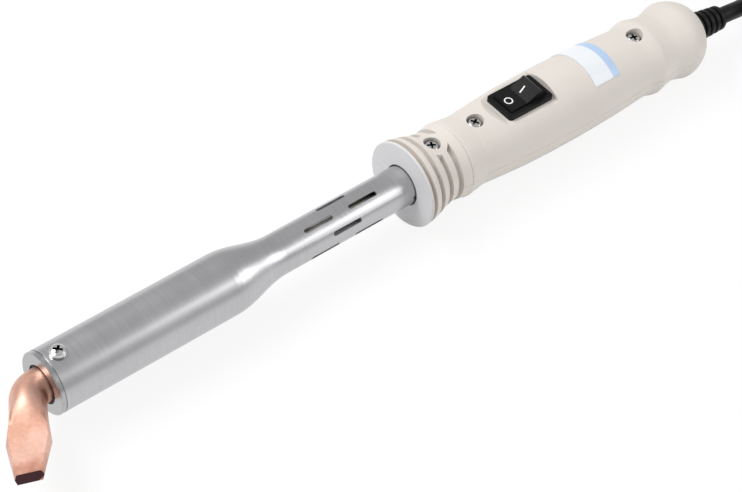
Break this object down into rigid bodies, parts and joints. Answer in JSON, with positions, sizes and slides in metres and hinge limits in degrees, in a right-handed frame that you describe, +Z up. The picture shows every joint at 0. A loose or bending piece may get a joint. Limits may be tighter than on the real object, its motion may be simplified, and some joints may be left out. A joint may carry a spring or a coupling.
{
  "type": "electric soldering iron",
  "caption": "Heavy mains soldering iron: bent copper chisel bit in a slotted steel barrel, moulded handle with cooling fins, rocker switch, screws, strain relief and a stored cord with plug.",
  "frame": {"origin": "middle of the bottom of the iron without its cord, on the surface it lies on", "axes": "+X runs along the barrel from the copper bit towards the cord, +Z is up through the switch, +Y completes the right hand"},
  "size_m": [0.6052, 0.06, 0.0374],
  "materials": {
    "copper": "forged copper, satin, heat-browned at the edges",
    "brushed_steel": "brushed stainless",
    "bright_screw": "bright plated",
    "heat_steel": "plain steel",
    "mica": "mica sheet",
    "resistance_wire": "drawn wire",
    "ceramic": "unglazed",
    "glass_sleeve": "woven glass fibre",
    "handle_grey": "fine spark texture",
    "switch_black": "gloss",
    "contact_brass": "plain",
    "clamp_plastic": "moulded",
    "cord_black": "soft satin",
    "brown_wire": "wire insulation",
    "black_wire": "wire insulation",
    "blue_wire": "wire insulation",
    "green_wire": "wire insulation",
    "label": "bare film label",
    "tie_white": "soft strap",
    "plug_black": "moulded",
    "plug_metal": "nickel plated"
  },
  "bodies": {
    "iron": {"end_cap": "brushed_steel", "bit_screw": "bright_screw", "barrel": "brushed_steel", "core_tube": "heat_steel", "heater_former": "mica", "heating_coil": "resistance_wire", "mica_wrap": "mica", "rear_insulator": "ceramic", "heater_leads": "resistance_wire", "lead_sleeves": "glass_sleeve", "tube_clamp": "heat_steel", "lower_shell": "handle_grey", "collar_cover": "handle_grey", "grip_cover": "handle_grey", "collar_screw": "bright_screw", "grip_screws": "bright_screw", "switch_housing": "switch_black", "switch_terminals": "contact_brass", "terminal_block": "ceramic", "terminal_sleeves": "contact_brass", "terminal_screws": "heat_steel", "cord_clamp": "clamp_plastic", "clamp_screws": "heat_steel", "strain_relief": "cord_black", "cord_tail": "cord_black", "live_wire": "brown_wire", "switched_wire": "black_wire", "neutral_wire": "blue_wire", "earth_wire": "green_wire", "earth_tag": "contact_brass", "rating_label": "label", "mains_cord": "cord_black", "cord_hank": "cord_black", "hank_tie": "tie_white", "plug_body": "plug_black", "plug_pins": "plug_metal", "plug_earth_clips": "plug_metal"},
    "bit": {"copper_bit": "copper"},
    "rocker": {"rocker": "switch_black"},
    "lever": {"contact_lever": "contact_brass"}
  },
  "joints": [
    {"name": "bit_slide", "type": "slide", "parent": "iron", "child": "bit", "axis": [-1, 0, 0], "range_m": [0, 0.02]},
    {"name": "rocker_tilt", "type": "hinge", "parent": "iron", "child": "rocker", "pos_m": [0.06576, 0.00844, 0.02729], "axis": [0, 1, 0], "range_deg": [0, 26]},
    {"name": "lever_tilt", "type": "hinge", "parent": "iron", "child": "lever", "pos_m": [0.06563, 0.00844, 0.02009], "axis": [0, 1, 0], "range_deg": [-16, 0]}
  ],
  "couplings": [
    {"joint": "lever_tilt", "follows": "rocker_tilt", "ratio": -0.61538}
  ]
}
